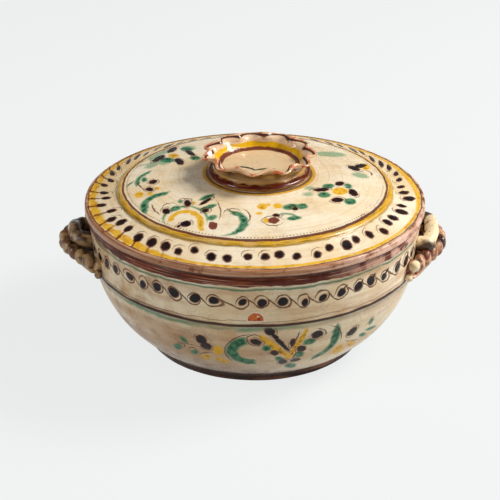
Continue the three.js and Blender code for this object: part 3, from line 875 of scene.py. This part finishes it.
def paint_dome():
    """The dome of the lid: flowers and leaves inside a row of pricks"""
    paint = pot("painted_dome")
    flat = paint.stray(paint.point(paint.x, paint.y, 0), 2.4, 3.2)
    # The yellow ring round the knob's foot, and a brown line of painted shade just inside it, against the knob's
    # bead
    round_knob = paint.vector("DISTANCE", paint.point(paint.x, paint.y, 0), (KNOB_OFFSET, 0, 0))
    paint.band(round_knob, 44.9, 1.6, 0.8, 0.92, (214, 160, 24))
    paint.band(round_knob, 42.6, 1.3, 0.4, 0.9, (104, 62, 22))
    # A row of pricks inside the brown line
    prick = paint.math("FRACT", paint.times(paint.plus(paint.turn, math.pi), PRICKS / math.tau))
    prick = paint.times(paint.minus(prick, 0.5), PRICK_PITCH)
    prick = paint.vector("LENGTH", paint.point(prick, paint.minus(paint.radius, PRICK_CIRCLE), 0))
    prick = paint.step(prick, 0.85, 0.4, 0, 0.75)
    paint.coat(paint.cloud(18, 2, 0.35, 0.5, 0.2, 1), LINE_BROWN, prick)
    brush(paint, flat, LID_MARKS)
    return glaze(paint, 8, 0.18, 0.36, shine=0.35)


def paint_brim():
    """The brim of the lid: a row of dots between two yellow bands, and the rubbed edge"""
    paint = pot("painted_brim")
    # The glaze is warmer round the back
    paint.stain(paint.step(paint.y, -30, 20), (248, 238, 214))
    # The outer yellow band spreads and runs inwards at the left, and is broad at the back right
    left = paint.times(paint.step(paint.turn, -0.35, -0.8), paint.step(paint.turn, -2.6, -2.2))
    right = paint.times(paint.step(paint.turn, 1.2, 1.9), paint.step(paint.turn, 3, 2.6))
    spread = paint.linear(left, 2.1, paint.times(right, 1.9))
    run = paint.times(paint.minus(paint.noise(8, 3), 0.5), paint.linear(left, 8, 1.2))
    centre = paint.linear(left, -1.5, paint.linear(right, -1.5, 134.9))
    outer = paint.ring(paint.plus(paint.radius, run), centre, paint.plus(spread, 1.3))
    outer = paint.times(paint.step(outer, 0.8, -0.8), paint.cloud(30, 2, 0.25, 0.5, 0.6, 0.95))
    paint.coat(outer, YELLOW)
    paint.coat(paint.cloud(6, 3, 0.45, 0.7, 0, 0.7), (196, 130, 20), outer)
    # The inner yellow band, and the brown line round the dome
    across = paint.wobble(paint.radius, 12, 0.5)
    inner = paint.step(paint.ring(across, 111.5, 2.3), 0.8, -0.8)
    inner = paint.times(inner, paint.cloud(24, 2, 0.3, 0.6, 0.7, 0.97))
    paint.coat(inner, (222, 166, 34))
    paint.coat(paint.step(paint.streaks(14, 1.6), 0.5, 0.64, 0, 0.75), (146, 106, 18), inner)
    paint.band(across, 113.6, 0.5, 0.7, 0.55, (120, 96, 30))
    heavy = paint.linear(paint.step(paint.turn, -1.2, -0.2), paint.step(paint.turn, 1.5, 0.6, 0, 0.7), 0.85)
    paint.coat(paint.step(paint.ring(across, 108.2, heavy), 0.5, -0.4, 0, 0.93), (92, 30, 14))
    dots(paint, left, right)
    # The edge is rubbed to tan and pink clay, and the seam below it is darkened with painted shade
    edge, worn, rubbed = rub(paint, paint.radius, 0.6, 137)
    paint.coat(edge, (180, 124, 84))
    paint.coat(paint.step(worn, 0.5, 0.64, 0, 0.75), (116, 62, 38), edge)
    pink = paint.times(paint.step(rubbed, 0.5, 0.6, 0, 0.85), paint.step(paint.x, -28, 107, 0.55, 1))
    paint.coat(pink, (230, 186, 158), edge)
    patches = paint.noise(9, 4)
    bare = paint.times(paint.step(paint.x, 28, 107), paint.step(patches, 0.4, 0.54, 0, 0.8))
    paint.coat(bare, (236, 192, 168), edge)
    paint.coat(paint.step(patches, 0.4, 0.3, 0, 0.8), (120, 48, 28), edge)
    paint.band(across, 137, 0.6, 0.5, 0.9, (88, 38, 20))
    # Painted shade: a dark band along the lid's lower edge, where it sits over the lip
    paint.coat(paint.step(paint.z, LID_SEAT + 1.7, LID_SEAT + 0.9, 0, 0.95), (30, 14, 10))
    return glaze(paint, 8, 0.18, 0.36, shine=0.35)


def dots(paint, left, right):
    """A ring of dark oval dabs round the brim, with brown tails dragged outwards at the left"""
    cell = paint.times(paint.plus(paint.turn, math.pi), BRIM_DOTS / math.tau)
    sine, cosine = paint.math("SINE", paint.turn), paint.math("COSINE", paint.turn)
    lean = paint.times(sine, paint.linear(cosine, 1.8, -0.9))
    depth = paint.linear(right, 1.4, paint.minus(paint.radius, BRIM_CIRCLE))
    cell = paint.plus(cell, paint.times(paint.times(lean, depth), BRIM_DOTS / math.tau / BRIM_CIRCLE))
    ways, heights, sizes = paint.dice(cell, 3, 7)
    side = paint.minus(paint.math("FRACT", cell), paint.step(ways, 0, 1, 0.38, 0.62))
    side = paint.times(side, BRIM_CIRCLE * math.tau / BRIM_DOTS)
    tall = paint.minus(depth, paint.step(heights, 0, 1, -2.6, 2.6))
    plane = paint.stray(paint.point(side, tall, 0), 2.2, 3)
    dot = paint.plus(paint.dab(plane, 0, 0, 4.4, 3.8, 90), paint.step(sizes, 0, 1, -0.7, 0.7))
    tail = paint.math("MINIMUM", paint.dab(plane, 0.2, 6.6, 8.4, 0.9, 88), paint.dab(plane, 0.5, 11, 3.4, 1.3, 90))
    dragged = paint.times(left, paint.cloud(16, 1, 0.25, 0.4))
    paint.coat(paint.times(paint.step(tail, 0.9, -0.5, 0, 0.85), dragged), (104, 44, 22))
    curl = paint.step(paint.arc(plane, (-4.6, -0.5), (-2.6, -6), (3.4, -6.4), 0.9), 0.35, -0.25)
    paint.coat(paint.step(ways, 0.35, 0.45, 0, 0.7), LINE_BROWN, curl)
    dark_dab(paint, dot, (1, -0.1, 0, 0.8), (0.1, -0.9), (-0.8, -2), paint.cloud(4, 2, 0.4, 0.6))
    paint.raise_by(paint.times(paint.step(dot, 0.5, -1.5), DOT_HEIGHT))


def paint_clay():
    """Bare clay under a thin wash of glaze"""
    paint = pot("bare_clay")
    paint.coat(paint.cloud(12, 3, 0.35, 0.65), TERRACOTTA)
    paint.coat(paint.step(paint.streaks(20, 2), 0.5, 0.7, 0, 0.5), OCHRE_CREAM)
    return paint.finish(0.7, shine=0.3)


def paint_inside():
    """The glazed inside of the bowl, stained where food stood"""
    paint = pot("glazed_inside")
    paint.coat(paint.step(paint.plus(paint.z, paint.noise(20, 2)), 46, 20, 0, 0.5), OCHRE_CREAM)
    paint.band(paint.plus(paint.z, paint.noise(16, 2)), 106, 1.4, 1, 0.8, (120, 62, 30))
    return glaze(paint, 8, 0.14, 0.3)


def paint_bowl():
    """The outside of the bowl, from the rubbed lip and the scrolled band down to the foot"""
    paint = pot("painted_bowl")
    half_turn = paint.math("ARCTAN2", paint.x, paint.math("ABSOLUTE", paint.y))
    up = paint.linear(paint.minus(paint.radius, 100), 0.45, paint.z)
    plane = paint.stray(paint.point(paint.times(half_turn, BELLY_CIRCLE), up, 0), 2.4, 3.2)
    level = paint.wobble(paint.z, 14, 1)
    # Tan stains drawn round by the wheel, and patches darker towards the left
    paint.coat(paint.step(paint.streaks(70, 7), 0.4, 0.66, 0, 0.5), (198, 146, 104))
    patchy_darkening = paint.times(paint.step(paint.x, 14, -110, 0, 0.6), paint.cloud(15, 4, 0.4, 0.66))
    paint.stain(patchy_darkening, (170, 128, 88))
    # Painted shade, broad and grey-brown, low on the front
    off = paint.math("ABSOLUTE", paint.plus(paint.x, 25))
    paint.stain(paint.times(paint.step(off, 80, 30), paint.step(paint.z, 78, 60)), (226, 212, 202))
    below = paint.step(paint.z, RIDGE_HEIGHT - 1, RIDGE_HEIGHT - 3)
    # Green wash under the ridge, green line under the lip
    strong = paint.step(paint.x, 105, -14, 0.25, 0.85)
    drift = paint.times(paint.step(paint.streaks(40, 6, 2), 0.3, 0.55, 0.25, 1), strong)
    paint.coat(drift, (84, 132, 98), paint.step(paint.ring(level, 72.4, 1.9), 1.5, -1.5))
    paint.band(level, 107.2, 1.2, 0.9, 0.7, (104, 142, 100))
    paint.band(level, 106.9, 0.5, 0.6, 0.7, (38, 92, 62))
    paint.band(level, 79.9, 0.3, 0.4, 0.7, (108, 64, 36))
    scroll(paint)
    before = paint.colour
    brush(paint, plane, BELLY_MARKS)
    paint.colour = paint.mix(below, before, paint.colour)
    # The bold band on the ridge, doubled at the left
    calm = paint.wobble(paint.z, 22, 0.5)
    paint.coat(paint.step(paint.ring(calm, 76.2, 1.5), 0.6, -0.5, 0, 0.96), (54, 25, 14))
    split = paint.step(paint.x, -40, -97, 0, 0.8)
    paint.coat(split, (88, 46, 26), paint.step(paint.ring(calm, 78.9, 0.35), 0.5, -0.3))
    # The lip is rubbed to red clay, with brown glaze left in streaks
    lip, worn, rubbed = rub(paint, level, 0.5, 109.2)
    paint.coat(lip, (96, 42, 24))
    paint.coat(paint.step(worn, 0.52, 0.64, 0, 0.8), (150, 82, 54), lip)
    paint.coat(paint.step(worn, 0.44, 0.34), (52, 22, 14), lip)
    paint.coat(paint.step(rubbed, 0.58, 0.66, 0, 0.8), (220, 172, 144), lip)
    bare = paint.times(paint.step(paint.x, 40, 115), paint.cloud(11, 4, 0.4, 0.54, 0, 0.85))
    paint.coat(bare, (232, 182, 158), lip)
    # Painted shade: a dark line along the top of the lip, under the lid's edge
    paint.coat(paint.step(paint.z, RIM_HEIGHT - 1.6, RIM_HEIGHT - 0.8, 0, 0.95), (26, 12, 8))
    # Foot: brown glaze rubbed through, and a dark line where it meets the belly
    foot = paint.step(level, 12.6, 11)
    paint.coat(foot, (62, 34, 18))
    bare = paint.times(paint.step(worn, 0.5, 0.62), paint.step(paint.x, -20, 78, 0.3, 1))
    paint.coat(bare, (170, 112, 82), foot)
    paint.coat(paint.step(worn, 0.44, 0.34), (34, 20, 12), foot)
    paint.band(level, 11.6, 0.6, 0.5, 0.9, (46, 26, 16))
    # Patches darker towards the foot, and painted shade on the wall behind the handles
    patchy_darkening = paint.times(paint.step(paint.z, 30, 12, 0, 0.6), paint.cloud(16, 3, 0.4, 0.65))
    paint.stain(patchy_darkening, (150, 112, 76))
    behind_handles = paint.point(paint.times(paint.math("ABSOLUTE", paint.turn), BAND_CIRCLE), paint.z, 0)
    paint.coat(paint.step(paint.dab(behind_handles, 199, 88, 27, 11), 1.5, -3, 0, 0.95), (30, 20, 12))
    # A chip in the band shows the clay
    face = paint.stray(paint.point(paint.times(paint.turn, BAND_CIRCLE), paint.z, 0), 1.4, 2.5)
    chip = paint.math("MAXIMUM", paint.dab(face, 0.7, 81.6, 6, 5.9), paint.minus(80.4, paint.z))
    paint.coat(paint.step(chip, 1.2, 0.4), (246, 226, 204))
    paint.coat(paint.step(chip, 0.1, -0.4), (214, 112, 56))
    paint.coat(paint.times(paint.step(chip, 0, -0.8), paint.cloud(2.4, 2, 0.52, 0.66)), (150, 62, 26))
    paint.coat(paint.step(paint.dab(face, 2.4, 84.2, 0.9, 0.7), 0.3, -0.3), (250, 226, 200))
    paint.raise_by(paint.step(chip, 0.4, -0.8, 0, -0.6))
    return glaze(paint, 8, 0.24, 0.46, shine=0.2)


def scroll(paint):
    """Dots on the upright band, each wrapped by a thin wavy line that runs on to the next"""
    pitch = BAND_CIRCLE * math.tau / BAND_DOTS
    along = paint.linear(paint.turn, BAND_CIRCLE, 40 * pitch)
    along = paint.plus(along, paint.step(paint.turn, -28 / BAND_CIRCLE, -14 / BAND_CIRCLE, 0, -6.2))
    along = paint.plus(along, paint.step(paint.turn, 1.8, 2.8, 0, 6.2))
    swayed = paint.stray(paint.point(along, paint.minus(paint.z, BAND_MIDDLE), 0), 9, 26)
    along, tall, _ = paint.node("ShaderNodeSeparateXYZ", swayed).outputs
    cell = paint.plus(paint.over(along, pitch), 0.5)
    ways, heights, sizes = paint.dice(cell, 2, 5)
    side = paint.times(paint.minus(paint.math("FRACT", cell), 0.5), pitch)
    plane = paint.stray(paint.point(side, tall, 0), 1.2, 3)
    lines = [
        ((-4.7, -0.8), (-1.4, 4.6), (4, 2.6), 1.3),
        ((3.4, 3.1), (6.9, -0.5), (11, -3.8), 1.2),
        ((3.4 - pitch, 3.1), (6.9 - pitch, -0.5), (11 - pitch, -3.8), 1.2),
        ((-4.8, -3.6), (-0.8, -5.6), (3.2, -4.6), 1.2),
        ((2.8, -4.8), (5.2, -1.9), (4.3, 1.5), 1.2),
    ]
    line = paint.step(paint.strokes(plane, lines), 0.35, -0.3)
    paint.coat(paint.cloud(16, 2, 0.2, 0.5, 0.5, 0.92), (106, 56, 28), line)
    paint.raise_by(paint.times(line, -LINE_DEPTH))
    moved = paint.point(paint.step(ways, 0, 1, -1, 1), paint.step(heights, 0, 1, -1, 1), 0)
    moved = paint.vector("ADD", plane, moved)
    dot = paint.plus(paint.dab(moved, 0, -0.8, 3.9, 3.5, 30), paint.step(sizes, 0, 1, -0.5, 0.6))
    comma = paint.plus(paint.dab(moved, 2.6, 2.2, 3.4, 1.1, 48), paint.step(paint.x, 88, 28, 0, 3))
    dot = paint.math("MINIMUM", dot, comma)
    dark_dab(paint, dot, (0.8, -0.1, 0, 0.7), (0.3, -0.5), (-0.4, -1.2), 0.9)
    paint.raise_by(paint.times(paint.step(dot, 0.5, -1.5), DOT_HEIGHT))


def paint_knob():
    """The knob's dish, brown and olive outside and ringed with yellow and brown inside"""
    paint = Paint("banded_knob", KNOB_OFFSET)
    turn = paint.math("ARCTAN2", paint.y, paint.x)
    lay_ground(paint, paint.point(paint.times(paint.z, 0.5), paint.over(paint.x, 40), paint.over(paint.y, 40)))
    height = paint.minus(paint.z, DOME_TOP)
    level = paint.wobble(height, 7, 0.5)
    press = paint.math("SINE", paint.linear(turn, 2, 1))
    press = paint.math("COSINE", paint.linear(press, 0.5, paint.times(turn, CRESTS)))
    wall = paint.linear(press, paint.step(height, 9, 17, 0, 3), paint.linear(height, 0.54, 33))
    lifted = paint.linear(press, CREST_LIFT, height)
    wall = paint.plus(wall, paint.step(lifted, 13.8, 15, 0, 5))
    inside = paint.step(paint.minus(paint.radius, wall), 0.8, -0.8)
    # Outside: translucent brown and olive, darkened just under the crest with painted shade, ochre towards the foot
    outside = paint.minus(1, inside)
    paint.coat(0.85, (158, 118, 66), outside)
    paint.coat(paint.step(level, 7, 9.6, 0, 0.75), (110, 74, 36), outside)
    paint.coat(paint.cloud(12, 2, 0.45, 0.7, 0, 0.6), (92, 76, 34), outside)
    paint.band(level, 4.8, 0.7, 0.6, 0.8, (206, 146, 66))
    # Inside: yellow and brown rings above a tan floor with green strokes
    across = paint.wobble(paint.radius, 8, 0.5)
    paint.coat(paint.step(level, 10.8, 11.6, 0, 0.85), (236, 196, 158), inside)
    paint.coat(paint.step(across, 33.6, 32.6, 0, 0.75), (226, 190, 142), inside)
    yellow = paint.times(inside, paint.step(paint.ring(level, 9.4, 1.8), 0.5, -0.4))
    paint.coat(yellow, (232, 176, 14))
    paint.coat(paint.cloud(9, 2, 0.5, 0.75, 0, 0.6), (190, 128, 12), yellow)
    paint.coat(paint.step(paint.ring(across, 31.7, 1.8), 0.6, -0.4, 0, 0.95), (112, 40, 12), inside)
    marks = [((-18, -8), (-10, -8.5), (-4, -13.5), 2.4), ((-2, -14), (5, -11), (11, -11.5), 2.4)]
    green = paint.strokes(paint.stray(paint.point(paint.x, paint.y, 0), 1.6, 3), marks)
    paint.coat(paint.step(green, 0.9, -0.6, 0, 0.95), (24, 50, 32), inside)
    # A dark line follows the zigzag crest; the lobes are rubbed to the clay
    crest = paint.minus(paint.radius, paint.linear(press, 3.6, 40.9))
    top = paint.step(lifted, 11.4, 12.6)
    paint.coat(paint.step(crest, -0.5, 0.5, 0, 0.8), (222, 176, 132), top)
    rubbed = paint.times(top, paint.cloud(6, 3, 0.5, 0.62))
    paint.coat(paint.step(crest, -1, 1), (214, 112, 70), rubbed)
    paint.coat(paint.step(paint.ring(crest, 0, 1), 0.4, -0.4, 0, 0.96), (70, 26, 14), top)
    # The bead at the foot is glossy red brown
    bead = paint.step(level, 3.9, 3.3)
    paint.coat(bead, (92, 28, 10))
    paint.coat(paint.step(paint.streaks(14, 1.6), 0.54, 0.66, 0, 0.85), (160, 92, 38), bead)
    paint.coat(paint.step(level, 1, 0.3), (178, 122, 40))
    return glaze(paint, 6, 0.12, 0.26, bump=0.7, coat=0.15)


def paint_handles(name, ground, stain, share, pools_and_shade):
    """Clay with brown and olive glaze that has run off the high places and pooled here and there, and painted shade
    in the hollows against the wall
    """
    paint = Paint(name)
    lay_ground(paint, paint.place)
    paint.coat(0.8, ground)
    paint.coat(paint.cloud(9, 3, share, share + 0.16, 0, 0.9), stain)
    paint.coat(paint.cloud(6, 4, 0.62, 0.7, 0, 0.8), TERRACOTTA)
    paint.coat(paint.cloud(7, 3, share + 0.12, share + 0.24, 0, 0.85), (52, 30, 18))
    for dark_place in pools_and_shade:
        # Glaze pooled dark round each given place, and painted shade where it lies in a hollow against the wall
        reach = paint.linear(paint.noise(6, 2), -4, paint.vector("DISTANCE", paint.place, dark_place))
        paint.coat(paint.step(reach, 11, 7, 0, 0.94), (54, 26, 14))
    return glaze(paint, 6, 0.2, 0.42, coat=0.12)


def build_camera():
    """Looks down on the tureen from the front, at the distance that gives the photo's perspective"""
    target = Vector(CAMERA_TARGET) * MM
    tilt = math.radians(CAMERA_TILT)
    away = Vector((0, -math.cos(tilt), math.sin(tilt))) * CAMERA_DISTANCE * MM
    bpy.ops.object.camera_add(location=(0, away.y, target.z + away.z))
    camera = bpy.context.object
    camera.data.sensor_width = 36
    camera.data.lens = CAMERA_LENS
    camera.rotation_euler = (target - camera.location).to_track_quat("-Z", "Y").to_euler()
    scene.camera = camera


def build_stage():
    """A floor that shows its own pale colour to the camera, and to glossy and transmission rays"""
    deselect_all()
    bpy.ops.mesh.primitive_plane_add(size=FLOOR_SIZE)
    floor = bpy.context.object
    floor.name = "floor"
    material = bpy.data.materials.new("pale_floor")
    material.use_nodes = True
    nodes, links = material.node_tree.nodes, material.node_tree.links
    shader = nodes["Principled BSDF"]
    shader.inputs["Base Color"].default_value = tint(188, 190, 189)
    shader.inputs["Roughness"].default_value = 0.9
    shader.inputs["Specular IOR Level"].default_value = 0.1
    rays = nodes.new("ShaderNodeLightPath")
    seen = rays.outputs["Is Camera Ray"]
    for kind in ("Is Glossy Ray", "Is Transmission Ray"):
        either = nodes.new("ShaderNodeMath")
        either.operation = "MAXIMUM"
        links.new(seen, either.inputs[0])
        links.new(rays.outputs[kind], either.inputs[1])
        seen = either.outputs[0]
    share = nodes.new("ShaderNodeMath")
    share.operation = "MULTIPLY"
    share.inputs[1].default_value = 0.8
    links.new(seen, share.inputs[0])
    glow = nodes.new("ShaderNodeEmission")
    glow.inputs["Color"].default_value = tint(251, 254, 253)
    mix = nodes.new("ShaderNodeMixShader")
    links.new(share.outputs[0], mix.inputs[0])
    links.new(shader.outputs[0], mix.inputs[1])
    links.new(glow.outputs[0], mix.inputs[2])
    links.new(mix.outputs[0], nodes["Material Output"].inputs["Surface"])
    floor.data.materials.append(material)


def build_lights():
    world = scene.world or bpy.data.worlds.new("studio")
    scene.world = world
    world.use_nodes = True
    background = world.node_tree.nodes["Background"]
    background.inputs["Color"].default_value = (0.87, 0.885, 0.875, 1)
    background.inputs["Strength"].default_value = 0.12
    for name, (place, aim, size, power) in LAMPS.items():
        bpy.ops.object.light_add(type="AREA", location=place)
        lamp = bpy.context.object
        lamp.name = name
        lamp.data.shape = "RECTANGLE"
        lamp.data.size = lamp.data.size_y = size
        lamp.data.energy = power
        lamp.rotation_euler = (Vector(aim) - Vector(place)).to_track_quat("-Z", "Y").to_euler()


bowl = build_bowl()
soften(bowl, 0.9, 60)
clay = paint_clay()
dress(bowl, (paint_bowl(), paint_inside(), clay, bowl_zone), "bowl", "painted_cream_glaze", "bowl")

lid = build_lid()
soften(lid, 0.9, 60)
dress(lid, (paint_brim(), paint_dome(), clay, lid_zone), "lid", "painted_cream_glaze", "lid")

knob = build_knob()
crimp_rim(knob, DOME_TOP + 8, KNOB_TOP)
shift(knob, KNOB_OFFSET)
soften(knob, 0.8, 18)
dress(knob, paint_knob(), "lid", "brown_banded_glaze", "knob")

for name, handle in HANDLES.items():
    build_handle(name, **handle)

build_stage()
build_lights()
build_camera()
scene.view_settings.view_transform = "Standard"
